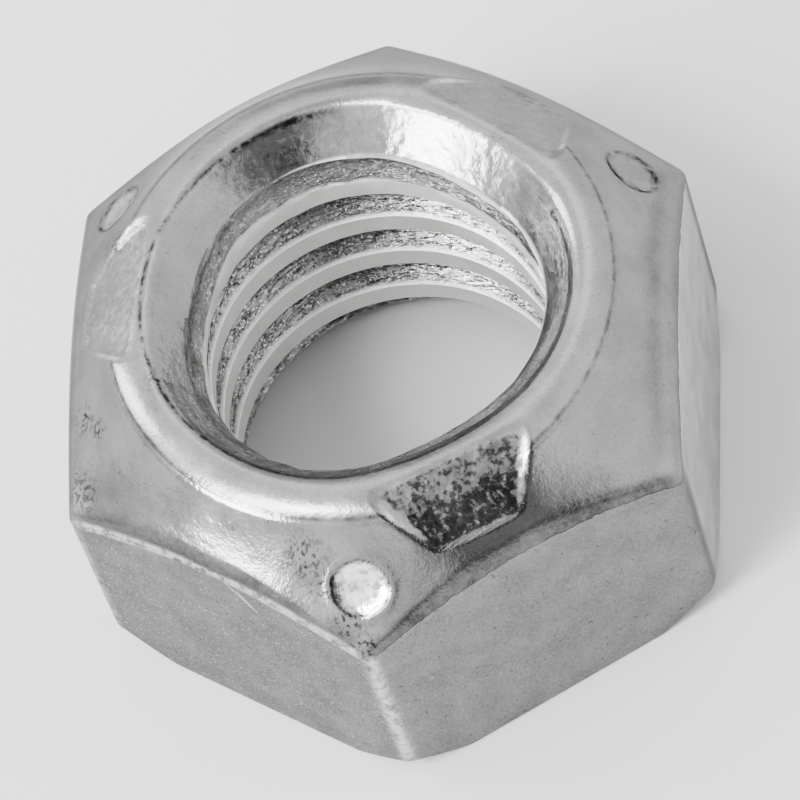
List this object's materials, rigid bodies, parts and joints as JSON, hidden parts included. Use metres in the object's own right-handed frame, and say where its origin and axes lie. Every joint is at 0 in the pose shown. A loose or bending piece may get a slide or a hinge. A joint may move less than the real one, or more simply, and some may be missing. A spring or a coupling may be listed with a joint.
{
  "type": "all-metal lock nut",
  "caption": "Hexagonal all-metal lock nut with a dished dome, a low collar and punch marks that squeeze the top of its thread.",
  "frame": {"origin": "centre of the round bearing face, on the axis of the threaded hole", "axes": "+Z along the hole from the bearing face to the collar, +X through the middle of a flat"},
  "size_m": [0.0142, 0.0164, 0.0086],
  "materials": {
    "zinc_plated_steel": "satin"
  },
  "bodies": {
    "root": {"lock_nut": "zinc_plated_steel"}
  },
  "joints": []
}
